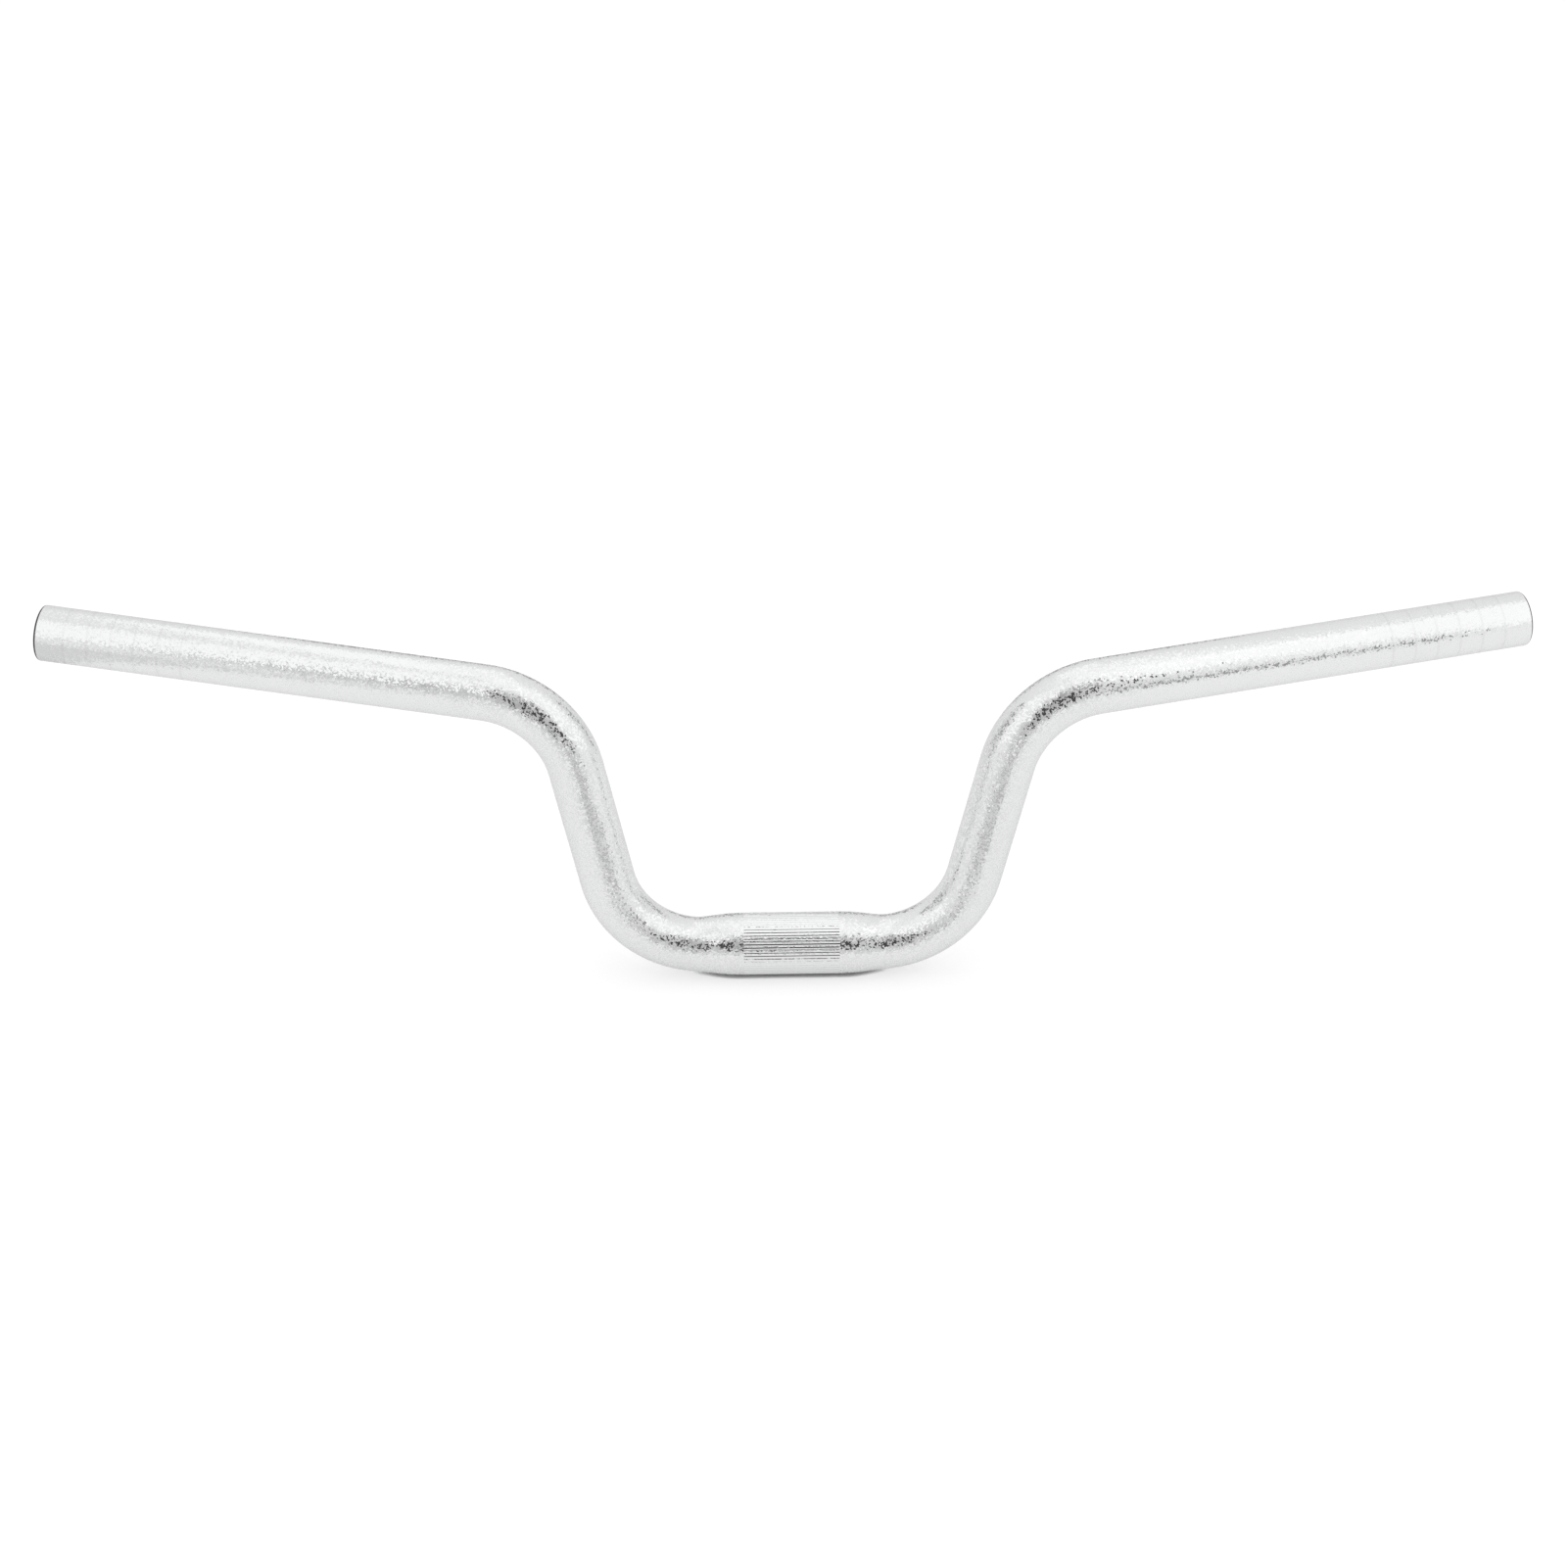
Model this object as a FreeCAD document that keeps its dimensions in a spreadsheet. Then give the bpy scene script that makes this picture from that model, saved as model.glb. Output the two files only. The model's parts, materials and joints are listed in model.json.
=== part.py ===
import FreeCAD, Part
import math
import os
import Sketcher

# Riser handlebar: one aluminium tube with four bends and two open ends. Its middle is swelled to
# the stem's clamp diameter and knurled lengthwise, so that the bar can't turn in the clamp.
# Millimetres and degrees. The origin is the middle of the clamp, X runs along the clamp,
# Z is up and Y points back to the rider.

# Driving sizes. The width and the rise are measured to the centres of the two ends, and the leg
# angle is the turn of the lower bend.
SIZES = {
    "overall_width": 590.0,
    "rise": 127.0,
    "upsweep": 5.0,
    "backsweep": 9.0,
    "leg_angle": 77.0,
    "lower_bend_radius": 40.0,
    "upper_bend_radius": 40.0,
    "grip_diameter": 22.2,
    "wall": 2.1,
    "clamp_diameter": 25.4,
    "clamp_length": 40.0,
    "swell_length": 22.0,
    "swell_in_bend": 7.0,
    "knurl_length": 39.0,
    "knurl_grooves": 60,
    "knurl_depth": 0.12,
    "knurl_angle": 146.0,
    "end_chamfer": 0.6,
}

# Working values, each an expression of the sizes. The centre lines of two straight runs meet at a
# corner, and a bend's tangent is the distance from its corner to either end of its arc. The leg
# line runs from corner to corner, and the arm line from the upper corner to the end of the bar.
# The swell's two arcs have one radius, and the last of the second one lies in the lower bend.
WORKING = {
    "swell_end": "Sizes.clamp_length / 2 + Sizes.swell_length",
    "half_straight": "swell_end - Sizes.swell_in_bend",
    "swell_step": "(Sizes.clamp_diameter - Sizes.grip_diameter) / 2",
    "swell_radius": "(Sizes.swell_length^2 + swell_step^2) / (4 * swell_step)",
    "arm_out": "cos(Sizes.upsweep) * cos(Sizes.backsweep)",
    "arm_back": "cos(Sizes.upsweep) * sin(Sizes.backsweep)",
    "arm_up": "sin(Sizes.upsweep)",
    "along_leg": "arm_out * cos(Sizes.leg_angle) + arm_up * sin(Sizes.leg_angle)",
    "off_leg": "arm_out * sin(Sizes.leg_angle) - arm_up * cos(Sizes.leg_angle)",
    "upper_turn": "acos(along_leg) / 1 deg",
    "upper_twist": "atan2(arm_back; off_leg) / 1 deg",
    "lower_tangent": "Sizes.lower_bend_radius * tan(Sizes.leg_angle / 2)",
    "upper_tangent": "Sizes.upper_bend_radius * tan(upper_turn / 2)",
    "half_span": "Sizes.overall_width / 2 - half_straight - lower_tangent",
    "leg_line": "(Sizes.rise * arm_out - half_span * arm_up) / off_leg",
    "arm_line": "(half_span * sin(Sizes.leg_angle) - Sizes.rise * cos(Sizes.leg_angle)) / off_leg",
    "leg_length": "leg_line - lower_tangent - upper_tangent",
    "arm_length": "arm_line - upper_tangent",
    "leg_end_x": "half_straight + lower_tangent + (leg_line - upper_tangent) * cos(Sizes.leg_angle)",
    "leg_end_z": "(leg_line - upper_tangent) * sin(Sizes.leg_angle)",
}

# Where a sketch's own axes lie on the upright plane through the clamp, whose axes are X and Z.
LEG_END = "vector(Working.leg_end_x; Working.leg_end_z; 0)"
TURN_TO_LEG = "rotation(vector(0; 0; 1); Sizes.leg_angle)"
ACROSS_LEG = f"placement({LEG_END}; {TURN_TO_LEG} * rotation(vector(0; 1; 0); 90))"
UPPER_BEND_PLANE = f"placement({LEG_END}; {TURN_TO_LEG} * rotation(vector(1; 0; 0); Working.upper_twist))"

# Points of a sketch's geometry, and the sketch's own axes.
START, END, CENTRE = range(1, 4)
X_AXIS, Y_AXIS = -1, -2
ORIGIN = (X_AXIS, START)


def make_sheet(doc):
    """The driving sizes as cells, each with its name as alias."""
    sheet = doc.addObject("Spreadsheet::Sheet", "Sizes")
    for row, (name, value) in enumerate(SIZES.items(), start=1):
        sheet.set(f"A{row}", str(value))
        sheet.setAlias(f"A{row}", name)
    doc.recompute()
    return sheet


def make_working(doc):
    """The working values, each bound to the sizes or to the values before it."""
    working = doc.addObject("App::VarSet", "Working")
    for name in WORKING:
        working.addProperty("App::PropertyFloat", name)
    for name, expression in WORKING.items():
        working.setExpression(name, expression)
    doc.recompute()
    return working


def origin_feature(body, role):
    """One of the body's own origin planes or axes."""
    return next(item for item in body.Origin.OriginFeatures if item.Role == role)


def add_sketch(body, name, plane, place=None):
    """A sketch on one of the body's origin planes, moved on it by an expression if one is given."""
    sketch = body.newObject("Sketcher::SketchObject", name)
    sketch.AttachmentSupport = [(origin_feature(body, plane), "")]
    sketch.MapMode = "FlatFace"
    if place:
        sketch.setExpression("AttachmentOffset", place)
    return sketch


def line(sketch, start, end):
    """A straight edge between two points."""
    return sketch.addGeometry(Part.LineSegment(FreeCAD.Vector(*start, 0), FreeCAD.Vector(*end, 0)))


def arc(sketch, centre, radius, start, end):
    """An arc that runs anticlockwise from one angle to another."""
    circle = Part.Circle(FreeCAD.Vector(*centre, 0), FreeCAD.Vector(0, 0, 1), radius)
    return sketch.addGeometry(Part.ArcOfCircle(circle, math.radians(start), math.radians(end)))


def hold(sketch, *terms):
    """A constraint with no size of its own."""
    return sketch.addConstraint(Sketcher.Constraint(*terms))


def size(sketch, name, expression, *terms):
    """A named constraint whose size follows an expression."""
    index = hold(sketch, *terms)
    sketch.renameConstraint(index, name)
    sketch.setExpression(f"Constraints.{name}", expression)


def add_section(body, name, place, diameter="Sizes.grip_diameter"):
    """The tube's outer circle, centred on the sketch's own origin."""
    sketch = add_sketch(body, name, "XZ_Plane", place)
    radius = SIZES["grip_diameter"] / 2
    circle = sketch.addGeometry(Part.Circle(FreeCAD.Vector(0, 0, 0), FreeCAD.Vector(0, 0, 1), radius))
    hold(sketch, "Coincident", circle, CENTRE, *ORIGIN)
    size(sketch, "tube_diameter", diameter, "Diameter", circle, 2 * radius)
    return sketch


def across_bend(left):
    """Where a section lies in the lower bend, with that share of the swell's end still to come."""
    turn = f"(1 - {left}) * Sizes.swell_in_bend / Sizes.lower_bend_radius * 1 rad"
    out = f"Working.half_straight + Sizes.lower_bend_radius * sin({turn})"
    up = f"Sizes.lower_bend_radius * (1 - cos({turn}))"
    return f"placement(vector({out}; {up}; 0); rotation(vector(0; 0; 1); {turn}) * rotation(vector(0; 1; 0); 90))"


def swelled_diameter(left):
    """The tube's diameter there, on the swell's second arc."""
    run = f"({left} * Sizes.swell_in_bend)"
    return f"Sizes.grip_diameter + 2 * (Working.swell_radius - sqrt(Working.swell_radius^2 - {run}^2))"


def add_clamp_half(body, working):
    """Half of the swelled middle up to the bend: a cylinder and two equal arcs, turned about X."""
    sketch = add_sketch(body, "SwellProfile", "XZ_Plane")
    clamp_half = SIZES["clamp_length"] / 2
    clamp_radius = SIZES["clamp_diameter"] / 2
    tube_radius = SIZES["grip_diameter"] / 2
    swell_radius = working.swell_radius
    swell_turn = math.degrees(math.asin(SIZES["swell_length"] / 2 / swell_radius))
    bend_turn = math.degrees(math.asin(SIZES["swell_in_bend"] / swell_radius))
    half = working.half_straight
    hollow_height = tube_radius + swell_radius
    bend_radius = hollow_height - swell_radius * math.cos(math.radians(bend_turn))
    axis = line(sketch, (0, 0), (half, 0))
    outer_end = line(sketch, (half, 0), (half, bend_radius))
    hollow = arc(sketch, (working.swell_end, hollow_height), swell_radius, -90 - swell_turn, -90 - bend_turn)
    crown = arc(sketch, (clamp_half, clamp_radius - swell_radius), swell_radius, 90 - swell_turn, 90)
    seat = line(sketch, (clamp_half, clamp_radius), (0, clamp_radius))
    middle = line(sketch, (0, clamp_radius), (0, 0))
    hold(sketch, "Coincident", axis, START, *ORIGIN)
    hold(sketch, "Horizontal", axis)
    hold(sketch, "Coincident", axis, END, outer_end, START)
    hold(sketch, "Vertical", outer_end)
    hold(sketch, "Coincident", outer_end, END, hollow, END)
    hold(sketch, "Tangent", hollow, START, crown, START)
    hold(sketch, "Equal", hollow, crown)
    hold(sketch, "Tangent", crown, END, seat, START)
    hold(sketch, "Horizontal", seat)
    hold(sketch, "Coincident", seat, END, middle, START)
    hold(sketch, "Coincident", middle, END, axis, START)
    hold(sketch, "Vertical", middle)
    size(sketch, "half_straight", "Working.half_straight", "DistanceX", axis, START, axis, END, half)
    size(sketch, "swell_end", "Working.swell_end", "DistanceX", *ORIGIN, hollow, CENTRE, working.swell_end)
    size(sketch, "swell_radius", "Working.swell_radius", "Radius", hollow, swell_radius)
    size(sketch, "clamp_half", "Sizes.clamp_length / 2", "DistanceX", seat, END, seat, START, clamp_half)
    size(sketch, "clamp_radius", "Sizes.clamp_diameter / 2",
         "DistanceY", middle, END, middle, START, clamp_radius)
    turned = body.newObject("PartDesign::Revolution", "ClampHalf")
    turned.Profile = sketch
    turned.ReferenceAxis = (origin_feature(body, "X_Axis"), [""])
    turned.Angle = 360
    return turned


def add_swell_end(body):
    """The end of the swell, where the lower bend starts: three circles along the bend, lofted."""
    shares = ("1", "1 / 2", "0")
    sections = [
        add_section(body, f"SwellSection{number}", across_bend(left), swelled_diameter(left))
        for number, left in enumerate(shares, start=1)
    ]
    loft = body.newObject("PartDesign::AdditiveLoft", "SwellEnd")
    loft.Profile = sections[0]
    loft.Sections = sections[1:]
    return loft


def add_leg(body, working):
    """The rest of the lower bend and the straight leg, in the upright plane through the clamp."""
    spine = add_sketch(body, "LegLine", "XZ_Plane")
    radius = SIZES["lower_bend_radius"]
    turn = SIZES["leg_angle"]
    centre = (working.half_straight, radius)
    swell_turn = math.degrees(SIZES["swell_in_bend"] / radius)
    bend = arc(spine, centre, radius, swell_turn - 90, turn - 90)
    bend_end = (
        centre[0] + radius * math.sin(math.radians(turn)),
        centre[1] - radius * math.cos(math.radians(turn)),
    )
    straight = line(spine, bend_end, (working.leg_end_x, working.leg_end_z))
    hold(spine, "Tangent", bend, END, straight, START)
    size(spine, "bend_centre", "Working.half_straight", "DistanceX", *ORIGIN, bend, CENTRE, centre[0])
    size(spine, "bend_height", "Sizes.lower_bend_radius", "DistanceY", *ORIGIN, bend, CENTRE, radius)
    size(spine, "bend_radius", "Sizes.lower_bend_radius", "Radius", bend, radius)
    size(spine, "swell_out", "Sizes.lower_bend_radius * sin(Sizes.swell_in_bend / Sizes.lower_bend_radius * 1 rad)",
         "DistanceX", bend, CENTRE, bend, START, radius * math.sin(math.radians(swell_turn)))
    size(spine, "leg_angle", "Sizes.leg_angle", "Angle", straight, math.radians(turn))
    size(spine, "leg_length", "Working.leg_length", "Distance", straight, working.leg_length)
    section = add_section(body, "LegSection", across_bend("0"))
    return add_pipe(body, "Leg", section, spine)


def add_arm(body, working):
    """The upper bend and the straight arm, in a plane turned about the leg to sweep the arm back."""
    spine = add_sketch(body, "ArmLine", "XZ_Plane", UPPER_BEND_PLANE)
    radius = SIZES["upper_bend_radius"]
    turn = math.radians(working.upper_turn)
    bend = arc(spine, (0, -radius), radius, 90 - working.upper_turn, 90)
    bend_end = (radius * math.sin(turn), radius * math.cos(turn) - radius)
    arm_end = (
        bend_end[0] + working.arm_length * math.cos(turn),
        bend_end[1] - working.arm_length * math.sin(turn),
    )
    straight = line(spine, bend_end, arm_end)
    hold(spine, "Coincident", bend, END, *ORIGIN)
    hold(spine, "PointOnObject", bend, CENTRE, Y_AXIS)
    hold(spine, "Tangent", bend, START, straight, START)
    size(spine, "bend_radius", "Sizes.upper_bend_radius", "Radius", bend, radius)
    size(spine, "bend_turn", "-Working.upper_turn", "Angle", straight, -turn)
    size(spine, "arm_length", "Working.arm_length", "Distance", straight, working.arm_length)
    section = add_section(body, "ArmSection", ACROSS_LEG)
    return add_pipe(body, "Arm", section, spine)


def add_pipe(body, name, section, spine):
    """The tube's outer circle carried along a bend and the straight run after it."""
    pipe = body.newObject("PartDesign::AdditivePipe", name)
    pipe.Profile = section
    pipe.Spine = (spine, ["Edge1", "Edge2"])
    return pipe


def add_other_half(body, features):
    """The same middle, leg and arm on the other side of the clamp."""
    mirrored = body.newObject("PartDesign::Mirrored", "OtherHalf")
    mirrored.Originals = features
    mirrored.MirrorPlane = (origin_feature(body, "YZ_Plane"), [""])
    body.Tip = mirrored
    return mirrored


def add_bore(body, solid):
    """The tube's inside, one wall in from the outside and open at the two flat ends."""
    ends = [
        f"Face{number}"
        for number, face in enumerate(solid.Shape.Faces, start=1)
        if isinstance(face.Surface, Part.Plane)
    ]
    bore = body.newObject("PartDesign::Thickness", "Bore")
    bore.Base = (solid, ends)
    bore.Reversed = True
    bore.setExpression("Value", "Sizes.wall")
    body.Tip = bore
    return bore


def add_end_chamfers(body, tube):
    """The broken edges of both ends, outside and in."""
    flats = [face for face in tube.Shape.Faces if isinstance(face.Surface, Part.Plane)]
    rims = [edge for face in flats for edge in face.Edges]
    names = [
        f"Edge{number}"
        for number, edge in enumerate(tube.Shape.Edges, start=1)
        if any(edge.isSame(rim) for rim in rims)
    ]
    chamfers = body.newObject("PartDesign::Chamfer", "EndChamfers")
    chamfers.Base = (tube, names)
    chamfers.setExpression("Size", "Sizes.end_chamfer")
    body.Tip = chamfers
    return chamfers


def add_knurl(body):
    """A ring of straight grooves, each a V sunk into the clamp's cylinder and cut along it."""
    sketch = add_sketch(body, "GrooveProfile", "YZ_Plane")
    clamp_radius = SIZES["clamp_diameter"] / 2
    depth = SIZES["knurl_depth"]
    half_angle = math.radians(SIZES["knurl_angle"] / 2)
    half_width = 2 * depth * math.tan(half_angle)
    root = (0, clamp_radius - depth)
    left_top = (-half_width, clamp_radius + depth)
    right_top = (half_width, clamp_radius + depth)
    right = line(sketch, root, right_top)
    top = line(sketch, right_top, left_top)
    left = line(sketch, left_top, root)
    hold(sketch, "Coincident", right, END, top, START)
    hold(sketch, "Coincident", top, END, left, START)
    hold(sketch, "Coincident", left, END, right, START)
    hold(sketch, "PointOnObject", right, START, Y_AXIS)
    hold(sketch, "Symmetric", top, START, top, END, Y_AXIS)
    size(sketch, "root_radius", "Sizes.clamp_diameter / 2 - Sizes.knurl_depth",
         "DistanceY", *ORIGIN, right, START, root[1])
    size(sketch, "groove_height", "2 * Sizes.knurl_depth", "DistanceY", right, START, right, END, 2 * depth)
    size(sketch, "groove_side", "90 - Sizes.knurl_angle / 2", "Angle", right, math.pi / 2 - half_angle)
    groove = body.newObject("PartDesign::Pocket", "Groove")
    groove.Profile = sketch
    groove.SideType = "Symmetric"
    groove.setExpression("Length", "Sizes.knurl_length")
    knurl = body.newObject("PartDesign::PolarPattern", "Knurl")
    knurl.Originals = [groove]
    knurl.Axis = (origin_feature(body, "X_Axis"), [""])
    knurl.Angle = 360
    knurl.setExpression("Occurrences", "Sizes.knurl_grooves")
    body.Tip = knurl
    return knurl


def make_handlebar(doc, working):
    """The bar as one body: solid outside, bore, broken end edges, then the knurl."""
    body = doc.addObject("PartDesign::Body", "Handlebar")
    body.Label = "handlebar"
    body.Placement = FreeCAD.Placement()
    halves = [add_clamp_half(body, working), add_swell_end(body), add_leg(body, working), add_arm(body, working)]
    solid = add_other_half(body, halves)
    doc.recompute()
    tube = add_bore(body, solid)
    doc.recompute()
    finished = add_end_chamfers(body, tube)
    doc.recompute()
    plain_volume = finished.Shape.Volume
    add_knurl(body)
    doc.recompute()
    if body.Shape.Volume >= plain_volume:
        raise RuntimeError("the knurl cut nothing from the clamp")
    return body


def check(doc, parts):
    """Stop before writing if any object failed or any sub-part isn't one valid solid."""
    for item in doc.Objects:
        if "Invalid" in item.State or "Error" in item.State:
            raise RuntimeError(f"{item.Name} failed: {item.State}")
    for part in parts:
        if part.Shape.isNull() or not part.Shape.isValid() or len(part.Shape.Solids) != 1:
            raise RuntimeError(f"{part.Label} isn't one valid solid")


def main():
    doc = FreeCAD.newDocument("RiserHandlebar")
    make_sheet(doc)
    working = make_working(doc)
    parts = [make_handlebar(doc, working)]
    check(doc, parts)
    os.makedirs("parts", exist_ok=True)
    for part in parts:
        part.Shape.exportStep(f"parts/{part.Label}.step")


main()
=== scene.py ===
import json
import math

import bpy
import numpy as np
from mathutils import Matrix, Vector


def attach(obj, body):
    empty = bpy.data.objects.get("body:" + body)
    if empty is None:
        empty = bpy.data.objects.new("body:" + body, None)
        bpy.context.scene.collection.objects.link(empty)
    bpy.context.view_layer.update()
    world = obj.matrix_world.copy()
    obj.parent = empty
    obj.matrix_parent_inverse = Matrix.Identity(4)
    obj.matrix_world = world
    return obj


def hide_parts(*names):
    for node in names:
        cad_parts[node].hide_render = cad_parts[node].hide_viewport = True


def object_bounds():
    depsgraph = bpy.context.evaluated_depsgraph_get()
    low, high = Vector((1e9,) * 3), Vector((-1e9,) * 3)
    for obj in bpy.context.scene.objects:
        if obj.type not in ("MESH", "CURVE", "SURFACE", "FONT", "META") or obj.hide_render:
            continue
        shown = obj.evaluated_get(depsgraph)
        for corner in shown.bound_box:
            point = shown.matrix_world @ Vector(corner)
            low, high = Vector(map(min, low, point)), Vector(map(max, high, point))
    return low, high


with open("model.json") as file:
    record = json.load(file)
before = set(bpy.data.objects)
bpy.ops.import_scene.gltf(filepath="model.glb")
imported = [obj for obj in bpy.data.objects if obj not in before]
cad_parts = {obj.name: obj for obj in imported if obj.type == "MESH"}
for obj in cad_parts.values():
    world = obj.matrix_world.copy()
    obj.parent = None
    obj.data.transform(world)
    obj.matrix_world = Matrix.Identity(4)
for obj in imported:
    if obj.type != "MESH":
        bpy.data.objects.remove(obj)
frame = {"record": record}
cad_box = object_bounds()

# Riser handlebar in blasted silver aluminium, on a white studio floor. Metres and radians.
# The origin is the middle of the stem clamp, X runs along the clamp, Y back to the rider, Z up.

MM = 0.001
X, Y, Z = np.eye(3)

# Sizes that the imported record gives. The trim keeps the round surface inside the faceted solid's box.
TRIM = 0.018 * MM
MOUNTS = {mount["name"]: mount for mount in frame["record"]["mounts"]}
CLAMP_RADIUS = MOUNTS["stem_clamp"]["dims"]["r_mm"] * MM - TRIM
CLAMP_HALF = MOUNTS["stem_clamp"]["dims"]["length_mm"] * MM / 2
TUBE_RADIUS = MOUNTS["left_grip"]["dims"]["r_mm"] * MM - TRIM
BORE_RADIUS = MOUNTS["left_end_bore"]["dims"]["r_mm"] * MM
ARM_WAY = np.array(MOUNTS["left_grip"]["axis"])
ARM_MIDDLE = np.array(MOUNTS["left_grip"]["pos_m"])
ARM_HALF = MOUNTS["left_grip"]["dims"]["length_mm"] * MM / 2

# Sizes of the bends, the swell, the knurl and the ends, as in the part's source.
LEG_ANGLE = math.radians(77)
LOWER_BEND_RADIUS = 40 * MM
UPPER_BEND_RADIUS = 40 * MM
SWELL_IN_BEND = 7 * MM
KNURL_HALF = 19.5 * MM
KNURL_GROOVES = 60
KNURL_DEPTH = 0.12 * MM
KNURL_HALF_ANGLE = math.radians(73)
KNURL_ROOT = 0.1 * MM
END_CHAMFER = 0.6 * MM

# The ends' edges are rounded here, a little wider than the solid's chamfer.
END_ROUND = 1.0 * MM

# The scored rings on each arm: how far the first is from the end, their pitch, count and line width.
RING_FIRST = 12 * MM
RING_PITCH = 9.4 * MM
RING_COUNT = 6
RING_LINE = 0.7 * MM

# The blasted finish. A grain leans by a chance amount and has a roughness between the brightest
# grains' one and that plus a spread, which differs on the knurl, in the bends and along the arms.
# Of the grains' chance values from 0 to 1, those below the step are bright and those above it rough.
GRAINS_PER_METRE = 1600.0
BLASTED_LEAN = 0.16
KNURL_LEAN = 0.12
BRIGHTEST_GRAIN = 0.04
KNURL_SPREAD = 0.12
BEND_SPREAD = 0.42
ARM_SPREAD = 0.34
STEP_START = 0.3
STEP_END = 0.5

# Edges that turn by more than this are drawn sharp: the grooves' edges are, the rounded ends aren't.
SHARP_EDGE = math.radians(18)
UV_NAME = "TurnsAndMetres"

# The centre line's corners and runs. The arm's line meets the upright plane of the legs at the
# upper corner, and the leg's line meets the clamp's axis at the lower corner.
BAR_END = ARM_MIDDLE + ARM_WAY * (ARM_HALF + END_CHAMFER - TRIM)
UPPER_CORNER = BAR_END - ARM_WAY * BAR_END[1] / ARM_WAY[1]
LEG_WAY = X * math.cos(LEG_ANGLE) + Z * math.sin(LEG_ANGLE)
LOWER_CORNER = UPPER_CORNER - LEG_WAY * UPPER_CORNER[2] / LEG_WAY[2]
UPPER_TURN = math.acos(float(ARM_WAY @ LEG_WAY))
UPPER_INWARD = (ARM_WAY - LEG_WAY * math.cos(UPPER_TURN)) / math.sin(UPPER_TURN)
UPPER_AXLE = np.cross(LEG_WAY, UPPER_INWARD)
LOWER_TANGENT = LOWER_BEND_RADIUS * math.tan(LEG_ANGLE / 2)
UPPER_TANGENT = UPPER_BEND_RADIUS * math.tan(UPPER_TURN / 2)
RUNS = np.array([
    LOWER_CORNER[0] - LOWER_TANGENT,
    LOWER_BEND_RADIUS * LEG_ANGLE,
    np.linalg.norm(UPPER_CORNER - LOWER_CORNER) - LOWER_TANGENT - UPPER_TANGENT,
    UPPER_BEND_RADIUS * UPPER_TURN,
    np.linalg.norm(BAR_END - UPPER_CORNER) - UPPER_TANGENT,
])
RUN_STARTS = np.concatenate([[0.0], np.cumsum(RUNS)])
HALF_LENGTH = RUN_STARTS[-1]
SWELL_END = RUNS[0] + SWELL_IN_BEND
SWELL_LENGTH = SWELL_END - CLAMP_HALF

# The photograph's camera: what it looks at, from how far, its angles and its lens.
IMAGE_SIDE = 1601
CAMERA_TARGET = Vector((-3.24 * MM, 0.0, 72.39 * MM))
CAMERA_DISTANCE = 1122.5 * MM
CAMERA_AZIMUTH = math.radians(-2.54)
CAMERA_ELEVATION = math.radians(26.28)
CAMERA_ROLL = math.radians(0.44)
CAMERA_FOCUS_PIXELS = 2889.6


def turned(vectors, axle, angles):
    """Each vector turned about the axle by its angle: the part along the axle stays, the rest turns."""
    along = (vectors @ axle)[:, None] * axle
    across = np.cross(axle, vectors)
    cosine, sine = np.cos(angles)[:, None], np.sin(angles)[:, None]
    return along + (vectors - along) * cosine + across * sine


def centre_line(distance):
    """Points of the centre line at signed distances from the middle, and two axes across it.

    A point is the sum of the five runs up to its distance: straight, arc, straight, arc, straight.
    The axes start as up and back and turn with each bend, so they never twist about the line.
    The other side is the mirror image, with X reversed.
    """
    reach = np.abs(distance)[:, None]
    straight, low, leg, high, arm = np.clip(reach - RUN_STARTS[:-1], 0, RUNS).T
    low_angle, high_angle = low / LOWER_BEND_RADIUS, high / UPPER_BEND_RADIUS
    points = (
        np.outer(straight, X)
        + LOWER_BEND_RADIUS * (np.outer(np.sin(low_angle), X) + np.outer(1 - np.cos(low_angle), Z))
        + np.outer(leg, LEG_WAY)
        + UPPER_BEND_RADIUS * (np.outer(np.sin(high_angle), LEG_WAY)
                               + np.outer(1 - np.cos(high_angle), UPPER_INWARD))
        + np.outer(arm, ARM_WAY)
    )
    up = turned(np.outer(np.cos(low_angle), Z) - np.outer(np.sin(low_angle), X), UPPER_AXLE, high_angle)
    back = turned(np.tile(Y, (len(distance), 1)), UPPER_AXLE, high_angle)
    side = np.where(distance < 0, -1.0, 1.0)[:, None] * X + Y + Z
    return points * side, up * side, back * side


def swell(distance):
    """How far the middle stands out from the plain tube.

    The clamp's full step falls to nothing over the swell's length along two equal arcs, the first
    rounded over and the second hollow, which meet half way down with one tangent.
    """
    step = CLAMP_RADIUS - TUBE_RADIUS
    arc = (SWELL_LENGTH**2 + step**2) / (4 * step)
    run = np.clip(np.abs(distance) - CLAMP_HALF, 0, SWELL_LENGTH)
    crown = step - arc + np.sqrt(arc**2 - np.minimum(run, SWELL_LENGTH / 2) ** 2)
    hollow = arc - np.sqrt(arc**2 - np.minimum(SWELL_LENGTH - run, SWELL_LENGTH / 2) ** 2)
    return np.where(run < SWELL_LENGTH / 2, crown, hollow)


def steps(start, end, count):
    """Evenly spaced distances from start up to, but not including, end."""
    return np.linspace(start, end, count, endpoint=False)


def half_rows(fine):
    """Distances along one half, close together in the swell and the bends."""
    ends = RUN_STARTS
    return np.concatenate([
        steps(CLAMP_HALF, ends[1], 7 * fine),
        steps(ends[1], SWELL_END, 3 * fine),
        steps(SWELL_END, ends[2], 16 * fine),
        steps(ends[2], ends[3], 2),
        steps(ends[3], ends[4], 18 * fine),
        steps(ends[4], HALF_LENGTH - END_ROUND, 4),
        [HALF_LENGTH - END_ROUND],
    ])


def round_edge(count):
    """A quarter round's cosine and sine, without its two ends."""
    angle = np.linspace(0, math.pi / 2, count + 2)[1:-1]
    return np.cos(angle), np.sin(angle)


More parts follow.
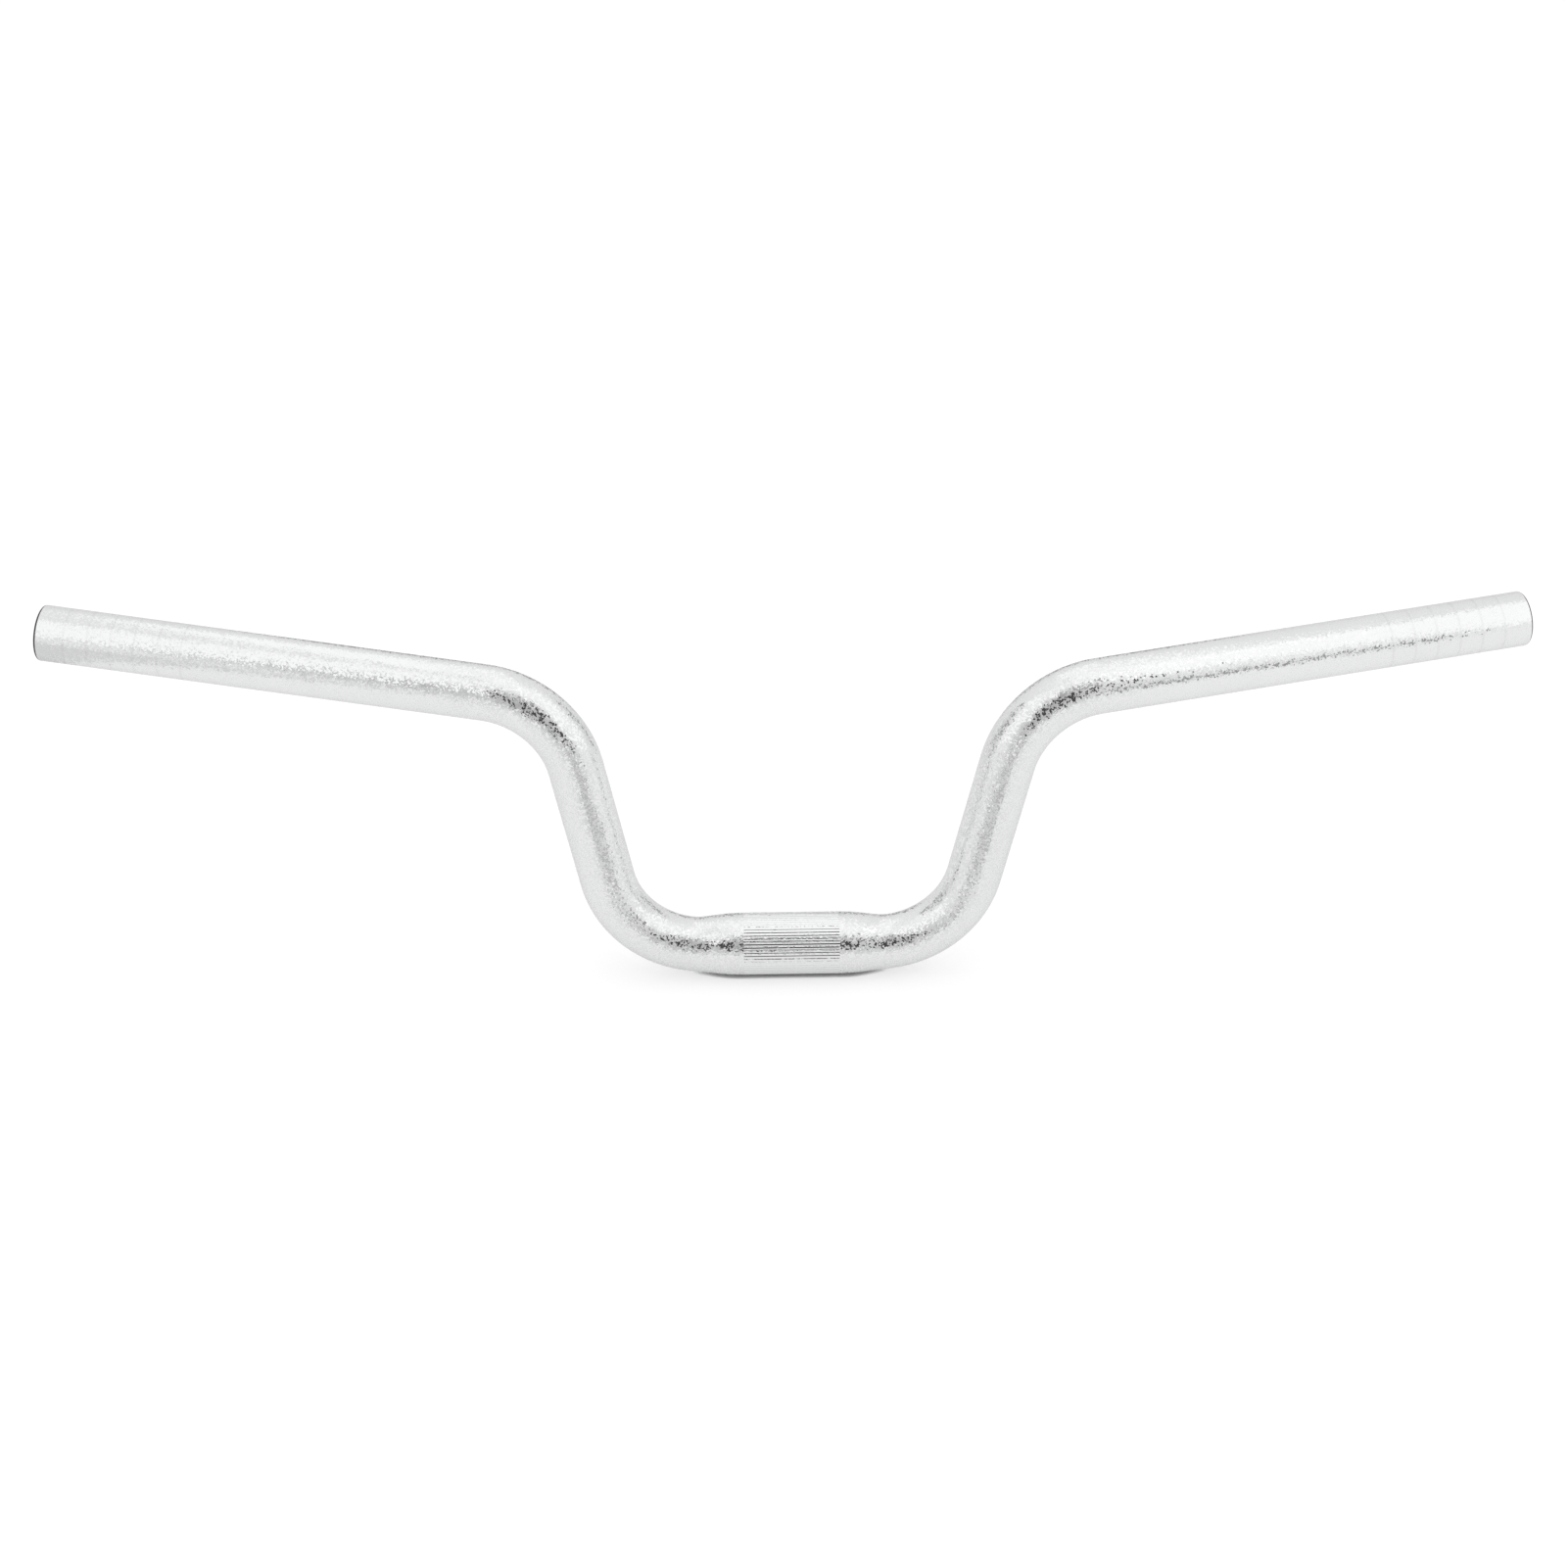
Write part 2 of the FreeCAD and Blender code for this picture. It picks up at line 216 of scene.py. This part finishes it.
def tube_profile():
    """The closed outline that runs along the outside, over one end, back through the bore and over
    the other end: signed distance along the centre line, radius, and which of outside 0, end 1 and
    bore 2 each stretch belongs to."""
    outer_half = np.concatenate([[KNURL_HALF - KNURL_DEPTH, KNURL_HALF], half_rows(2)])
    outside = np.concatenate([-outer_half[::-1], [0.0], outer_half])
    bore_half = half_rows(1)
    bore = np.concatenate([bore_half[::-1], [0.0], -bore_half])
    cosine, sine = round_edge(5)
    tip = HALF_LENGTH - END_ROUND + END_ROUND * np.concatenate([sine, [1.0, 1.0], sine[::-1]])
    lip = np.concatenate([
        TUBE_RADIUS - END_ROUND * (1 - cosine),
        [TUBE_RADIUS - END_ROUND, BORE_RADIUS + END_ROUND],
        BORE_RADIUS + END_ROUND * (1 - cosine[::-1]),
    ])
    distance = np.concatenate([outside, tip, bore, -tip[::-1]])
    radius = np.concatenate([
        TUBE_RADIUS + swell(outside), lip, BORE_RADIUS + swell(bore), lip[::-1],
    ])
    stretch = np.repeat([0, 1, 2, 1], [len(outside), len(tip), len(bore), len(tip)])
    return distance, radius, stretch


def knurl_angles():
    """Angles around the tube, four to a groove: its two top edges and the two sides of its root."""
    top = KNURL_DEPTH * math.tan(KNURL_HALF_ANGLE) / CLAMP_RADIUS
    root = KNURL_ROOT / 2 / CLAMP_RADIUS
    middles = np.arange(KNURL_GROOVES) * 2 * math.pi / KNURL_GROOVES
    angles = (middles[:, None] + np.array([-top, -root, root, top])).ravel()
    sunk = np.tile([0.0, 1.0, 1.0, 0.0], KNURL_GROOVES)
    return angles, sunk


def bar_surface():
    """The whole bar as one grid that closes both ways: the tube's outline carried round the centre
    line, with the knurl's grooves sunk into the clamp between its two ends."""
    distance, radius, stretch = tube_profile()
    angles, sunk = knurl_angles()
    points, up, back = centre_line(distance)
    knurled = (stretch == 0) & (np.abs(distance) < KNURL_HALF - KNURL_DEPTH / 2)
    depth = np.outer(knurled, sunk) * KNURL_DEPTH
    reach = (radius[:, None] - depth)[:, :, None]
    ring = up[:, None] * np.cos(angles)[None, :, None] + back[:, None] * np.sin(angles)[None, :, None]
    return points[:, None] + reach * ring, distance, angles, stretch


def closed_grid(name, grid, around, along, materials, rows_material):
    """A mesh of a grid that closes both ways, with a UV map of turns around and metres along."""
    rows, columns = grid.shape[:2]
    row, column = np.meshgrid(np.arange(rows), np.arange(columns), indexing="ij")
    next_row, next_column = (row + 1) % rows, (column + 1) % columns
    corners = [(row, column), (next_row, column), (next_row, next_column), (row, next_column)]
    quads = np.stack([r * columns + c for r, c in corners], axis=-1).reshape(-1, 4)
    turns = around / (2 * math.pi)
    next_turns = np.append(turns[1:], turns[0] + 1)
    u = np.stack([turns, turns, next_turns, next_turns], axis=-1)
    v = np.stack([along, np.roll(along, -1), np.roll(along, -1), along], axis=-1)
    uv = np.stack([np.tile(u, (rows, 1)), np.repeat(v, columns, axis=0)], axis=-1)
    mesh = bpy.data.meshes.new(name)
    mesh.from_pydata(grid.reshape(-1, 3), [], quads)
    mesh.uv_layers.new(name=UV_NAME).data.foreach_set("uv", uv.astype(np.float32).ravel())
    for material in materials:
        mesh.materials.append(material)
    mesh.polygons.foreach_set("material_index", np.repeat(rows_material, columns).astype(np.int32))
    mesh.shade_smooth()
    mesh.set_sharp_from_angle(angle=SHARP_EDGE)
    mesh.validate()
    piece = bpy.data.objects.new(name, mesh)
    bpy.context.scene.collection.objects.link(piece)
    return piece


class Value:
    """A shader socket that takes part in Python expressions: each operator adds a Math node."""

    def __init__(self, finish, socket):
        self.finish, self.socket = finish, socket

    def __add__(self, other):
        return self.finish.math("ADD", self, other)

    def __radd__(self, other):
        return self.finish.math("ADD", other, self)

    def __sub__(self, other):
        return self.finish.math("SUBTRACT", self, other)

    def __rsub__(self, other):
        return self.finish.math("SUBTRACT", other, self)

    def __mul__(self, other):
        return self.finish.math("MULTIPLY", self, other)

    def __rmul__(self, other):
        return self.finish.math("MULTIPLY", other, self)

    def __abs__(self):
        return self.finish.math("ABSOLUTE", self)


class Finish:
    """A node tree, with one method that makes any node from its settings and its sockets."""

    def __init__(self, tree):
        self.tree = tree
        tree.nodes.clear()

    def node(self, kind, settings=None, sockets=None, out=0):
        """One output of a new node, whose settings are made first and whose sockets are set or linked."""
        made = self.tree.nodes.new("ShaderNode" + kind)
        for name, value in (settings or {}).items():
            setattr(made, name, value)
        for name, value in (sockets or {}).items():
            if isinstance(value, Value):
                self.tree.links.new(value.socket, made.inputs[name])
            else:
                made.inputs[name].default_value = value
        return Value(self, made.outputs[out]) if made.outputs else made

    def math(self, operation, first, second=0.0):
        """The result of one Math node, on one or two values."""
        return self.node("Math", {"operation": operation}, {0: first, 1: second})

    def mixed(self, share, first, second):
        """A colour between two, by a share from 0 to 1."""
        return self.node("Mix", {"data_type": "RGBA"}, {0: share, 6: first, 7: second}, out=2)

    def noise(self, place, scale, detail=2.0, roughness=0.5):
        """Smooth noise from 0 to 1, with that many blobs to the metre."""
        sockets = {"Vector": place, "Scale": scale, "Detail": detail, "Roughness": roughness}
        return self.node("TexNoise", {"noise_dimensions": "3D"}, sockets)

    def rings(self, along):
        """1 on the scored rings near both ends and 0 between them, by metres along the centre line."""
        place = (HALF_LENGTH - RING_FIRST - along) * (1 / RING_PITCH)
        nearest = self.math("ROUND", place)
        gap = abs(place - nearest) * RING_PITCH
        from_middle_ring = abs(nearest - (RING_COUNT - 1) / 2)
        within = self.math("LESS_THAN", from_middle_ring, RING_COUNT / 2)
        return within * (1.0 - self.smooth(gap, RING_LINE / 4, RING_LINE))

    def turns_and_metres(self):
        """The bar's UV map: turns around the tube and metres along its centre line."""
        return self.node("UVMap", {"uv_map": UV_NAME})

    def along_bar(self):
        """Metres along the centre line from the middle."""
        return abs(self.node("SeparateXYZ", {}, {0: self.turns_and_metres()}, out=1))

    def grains(self, place, scale):
        """Three chance values from 0 to 1 in each small grain, with that many grains to the metre."""
        sockets = {"Vector": place, "Scale": scale}
        return self.node("TexVoronoi", {"voronoi_dimensions": "3D"}, sockets, out=1)

    def facets(self, grains, tilt):
        """The surface's normal, tipped by a chance amount in each grain."""
        centred = self.node("VectorMath", {"operation": "SUBTRACT"}, {0: grains, 1: (0.5, 0.5, 0.5)})
        normal = self.node("NewGeometry", out=1)
        lean = self.node("VectorMath", {"operation": "SCALE"}, {0: centred, "Scale": tilt})
        tipped = self.node("VectorMath", {"operation": "ADD"}, {0: normal, 1: lean})
        return self.node("VectorMath", {"operation": "NORMALIZE"}, {0: tipped})

    def smooth(self, value, low, high):
        """0 below low, 1 above high, and a soft step between them."""
        sockets = {0: value, 1: low, 2: high, 3: 0.0, 4: 1.0}
        return self.node("MapRange", {"interpolation_type": "SMOOTHSTEP"}, sockets)


def new_finish(name):
    """A material with an empty node tree."""
    material = bpy.data.materials.new(name)
    material.use_nodes = True
    return material, Finish(material.node_tree)


def blasted_aluminium():
    """Silver aluminium, blasted to a fine grain and clear anodised, with faint rings where the arms may
    be cut shorter.

    From the clamp to the upper bends each grain is either bright or rough, with a short step between.
    Along the arms the step widens to the whole range, so the grains are more even there.
    """
    material, finish = new_finish("blasted_aluminium")
    place = finish.node("TexCoord", out=3)
    along = finish.along_bar()
    plain = finish.smooth(along, KNURL_HALF - 1 * MM, KNURL_HALF + 1 * MM)
    arm = finish.smooth(along, RUN_STARTS[4], RUN_STARTS[4] + 30 * MM)
    cloud = finish.noise(place, 30.0, detail=3.0)
    shade = finish.mixed(cloud, (0.73, 0.735, 0.735, 1), (0.77, 0.775, 0.775, 1))
    scored = finish.mixed(finish.rings(along) * 0.17, shade, (0.5, 0.5, 0.5, 1))
    grains = finish.grains(place, GRAINS_PER_METRE)
    chance = finish.node("SeparateXYZ", {}, {0: grains})
    rough = finish.smooth(chance, STEP_START - arm * STEP_START, STEP_END + arm * (1 - STEP_END))
    spread = KNURL_SPREAD + plain * (BEND_SPREAD - KNURL_SPREAD) - arm * (BEND_SPREAD - ARM_SPREAD)
    lean = KNURL_LEAN + plain * (BLASTED_LEAN - KNURL_LEAN)
    surface = finish.node("BsdfPrincipled", {}, {
        "Base Color": scored, "Metallic": 1.0, "Roughness": BRIGHTEST_GRAIN + rough * spread,
        "Specular Tint": (0.8, 0.8, 0.8, 1), "Normal": finish.facets(grains, lean),
    })
    finish.node("OutputMaterial", {}, {"Surface": surface})
    return material


def cut_aluminium():
    """The two ends: bare metal, cut and brushed over. The rounded edges carry a painted dark reflection:
    they are coloured near black, and only the flat end face keeps the metal's tone.
    """
    material, finish = new_finish("cut_aluminium")
    place = finish.node("TexCoord", out=3)
    grain = finish.noise(place, 900.0, detail=2.0)
    face = finish.mixed(grain, (0.66, 0.66, 0.67, 1), (0.76, 0.76, 0.77, 1))
    # Painted dark reflection: the rounded edges turn near black, fading to the metal's tone on the flat
    # end face.
    painted_dark_rim = finish.smooth(HALF_LENGTH - finish.along_bar(), 0.03 * MM, 0.15 * MM)
    bump = finish.node("Bump", {}, {"Strength": 1.0, "Distance": 0.02 * MM, "Height": grain})
    surface = finish.node("BsdfPrincipled", {}, {
        "Base Color": finish.mixed(painted_dark_rim, face, (0.06, 0.06, 0.06, 1)),
        "Metallic": 1.0, "Roughness": 0.2, "Normal": bump,
    })
    finish.node("OutputMaterial", {}, {"Surface": surface})
    return material


def drawn_aluminium():
    """The bore: metal as drawn, with fine lines along the tube."""
    material, finish = new_finish("drawn_aluminium")
    uv = finish.turns_and_metres()
    lines = finish.node("Mapping", {}, {"Vector": uv, "Scale": (90.0, 6.0, 1.0)})
    streaks = finish.noise(lines, 1.0, detail=3.0)
    bump = finish.node("Bump", {}, {"Strength": 0.6, "Distance": 0.03 * MM, "Height": streaks})
    surface = finish.node("BsdfPrincipled", {}, {
        "Base Color": finish.mixed(streaks, (0.5, 0.5, 0.51, 1), (0.64, 0.64, 0.65, 1)),
        "Metallic": 1.0, "Roughness": 0.38, "Normal": bump,
    })
    finish.node("OutputMaterial", {}, {"Surface": surface})
    return material


def make_bar():
    """The bar, in the place of its solid."""
    grid, distance, angles, stretch = bar_surface()
    finishes = [blasted_aluminium(), cut_aluminium(), drawn_aluminium()]
    bar = closed_grid("bent_tube", grid, angles, distance, finishes, stretch)
    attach(bar, "root")
    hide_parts("handlebar")


# The studio. Every brightness is set against a white of 1.
FLOOR_SIDE = 8.0
FLOOR_COLOUR = (0.5, 0.5, 0.5, 1)
FLOOR_LIFT = 0.5
# How near the bar the floor's lift falls away, which paints the dark contact shadow under the clamp.
CONTACT_REACH = 1.8 * MM
BOX_DISTANCE = 1.6
PANEL_CORNERS = [(-1, -1), (1, -1), (1, 1), (-1, 1)]


def flat_panel(name, corners, material):
    """A flat panel between four corners."""
    mesh = bpy.data.meshes.new(name)
    mesh.from_pydata(corners, [], [(0, 1, 2, 3)])
    mesh.materials.append(material)
    panel = bpy.data.objects.new(name, mesh)
    bpy.context.scene.collection.objects.link(panel)
    return panel


def make_floor():
    """A white floor under the clamp. It keeps the bar's shadow, and what the camera and the metal see
    of it is lifted to the white of the background. Within a short reach of the bar the lift falls away,
    which paints a dark contact shadow along the clamp's underside."""
    material, finish = new_finish("studio_floor")
    camera_ray = finish.node("LightPath")
    glossy_ray = finish.node("LightPath", out=3)
    clear_ray = finish.node("LightPath", out=6)
    seen = finish.math("MAXIMUM", camera_ray, finish.math("MAXIMUM", glossy_ray, clear_ray))
    paint = finish.node("BsdfDiffuse", {}, {"Color": FLOOR_COLOUR})
    # Painted contact shadow: ambient occlusion over a short reach takes the lift away where the bar nearly
    # touches the floor.
    open_floor = finish.node("AmbientOcclusion", {"samples": 2}, {"Distance": CONTACT_REACH}, out=1)
    outside_painted_contact_shadow = finish.smooth(open_floor, 0.5, 1.0)
    shown = finish.mixed(seen * outside_painted_contact_shadow, (0, 0, 0, 1), (1, 1, 1, 1))
    lift = finish.node("Emission", {}, {"Color": shown, "Strength": FLOOR_LIFT})
    finish.node("OutputMaterial", {}, {"Surface": finish.node("AddShader", {}, {0: paint, 1: lift})})
    half = FLOOR_SIDE / 2
    low = float(cad_box[0].z)
    floor = flat_panel("studio_floor", [(x * half, y * half, low) for x, y in PANEL_CORNERS], material)


def make_world():
    """White all round."""
    world = bpy.data.worlds.new("studio")
    world.use_nodes = True
    bpy.context.scene.world = world
    finish = Finish(world.node_tree)
    light = finish.node("Background", {}, {"Color": (1, 1, 1, 1), "Strength": 1.0})
    finish.node("OutputWorld", {}, {"Surface": light})


def direction(azimuth, elevation):
    """The way out from the bar at two angles. Azimuth 0 is the front, and it grows towards X."""
    return Vector((
        math.sin(azimuth) * math.cos(elevation),
        -math.cos(azimuth) * math.cos(elevation),
        math.sin(elevation),
    ))


def looking_back(centre, way, distance):
    """A place that is a distance out from a centre, with the turn that looks back at it."""
    turn = (-way).to_track_quat("-Z", "Y").to_matrix().to_4x4()
    return Matrix.Translation(centre + way * distance) @ turn


def facing_bar(azimuth, elevation, distance):
    """A place around the middle of the bar's box, by angles in degrees, turned to face it."""
    middle = Vector(cad_box[0] + cad_box[1]) / 2
    return looking_back(middle, direction(math.radians(azimuth), math.radians(elevation)), distance)


def half_span(distance, degrees):
    """Half the length that spans twice that many degrees, seen from that distance."""
    return distance * math.tan(math.radians(degrees))


def soft_box(name, azimuth, elevation, half_width, half_height, brightness):
    """A soft box whose face has that brightness. It is placed and sized in degrees, as the bar sees it."""
    lamp = bpy.data.lights.new(name, "AREA")
    lamp.shape = "RECTANGLE"
    lamp.size = 2 * half_span(BOX_DISTANCE, half_width)
    lamp.size_y = 2 * half_span(BOX_DISTANCE, half_height)
    lamp.energy = brightness * math.pi * lamp.size * lamp.size_y
    holder = bpy.data.objects.new(name, lamp)
    holder.matrix_world = facing_bar(azimuth, elevation, BOX_DISTANCE)
    bpy.context.scene.collection.objects.link(holder)


def metal_card(name, corners, brightness):
    """A flat card of one plain brightness, which only the metal sees."""
    material, finish = new_finish(name)
    grey = finish.node("Emission", {}, {"Color": (1, 1, 1, 1), "Strength": brightness})
    finish.node("OutputMaterial", {}, {"Surface": grey})
    card = flat_panel(name, corners, material)
    card.visible_camera = card.visible_diffuse = card.visible_shadow = False
    card.visible_transmission = card.visible_volume_scatter = False


def room_card(name, azimuth, elevation, half_width, half_height, brightness, distance):
    """A darker stretch of the room. It is placed and sized in degrees, as the bar sees it."""
    place = facing_bar(azimuth, elevation, distance)
    x, y = half_span(distance, half_width), half_span(distance, half_height)
    metal_card(name, [place @ Vector((a * x, b * y, 0)) for a, b in PANEL_CORNERS], brightness)


def floor_card(name, corners, brightness):
    """A darker stretch of the floor, a hair above it."""
    low = float(cad_box[0].z) + 1 * MM
    metal_card(name, [(x, y, low) for x, y in corners], brightness)


def make_lights():
    """Soft boxes to the left, right and above, a dark gap between them where the camera stands, a dim
    strip to each side of it, and dimmer room and floor around.

    The numbers are azimuth, elevation, half width and half height in degrees, then the brightness, and
    for a room card its distance. A floor card has its corners and its brightness.
    """
    soft_box("left_box", -36, 36, 45, 29, 0.24)
    soft_box("right_box", 63, 40, 30, 33, 0.27)
    soft_box("top_box", 192, 80, 15, 34, 0.25)
    room_card("upper_gap", 2, 38, 16, 12, 0.5, 1.02)
    room_card("camera_gap", -0.3, 19, 22, 18, 0.08, 1.0)
    room_card("left_strip", -28, 10, 11, 7, 0.8, 1.06)
    room_card("right_strip", 30, 1, 11, 8, 0.38, 1.05)
    room_card("left_room", -102, 8, 15, 26, 0.46, 1.8)
    room_card("right_room", 125, 4, 8, 32, 0.46, 1.8)
    room_card("back_room", 180, 5, 17, 9, 0.42, 1.0)
    floor_card("front_floor", [(-0.085, -0.1), (-0.085, -0.57), (0.085, -0.57), (0.085, -0.1)], 0.63)
    floor_card("far_floor", [(-0.07, -1.06), (-0.89, -1.84), (0.89, -1.84), (0.07, -1.06)], 0.25)
    floor_card("left_floor", [(-0.34, 0.85), (-0.64, 0.85), (-0.64, -0.67), (-0.34, -0.67)], 0.83)


def make_camera():
    """The photograph's camera, aimed by its two angles and rolled about its own line of sight."""
    lens = bpy.data.cameras.new("photo_camera")
    lens.sensor_width = 36.0
    lens.lens = CAMERA_FOCUS_PIXELS / IMAGE_SIDE * lens.sensor_width
    way = direction(CAMERA_AZIMUTH, CAMERA_ELEVATION)
    aimed = looking_back(CAMERA_TARGET, way, CAMERA_DISTANCE)
    camera = bpy.data.objects.new("photo_camera", lens)
    camera.matrix_world = aimed @ Matrix.Rotation(CAMERA_ROLL, 4, "Z")
    bpy.context.scene.collection.objects.link(camera)
    bpy.context.scene.camera = camera


make_camera()
make_bar()
make_floor()
make_world()
make_lights()
bpy.context.scene.view_settings.view_transform = "Standard"
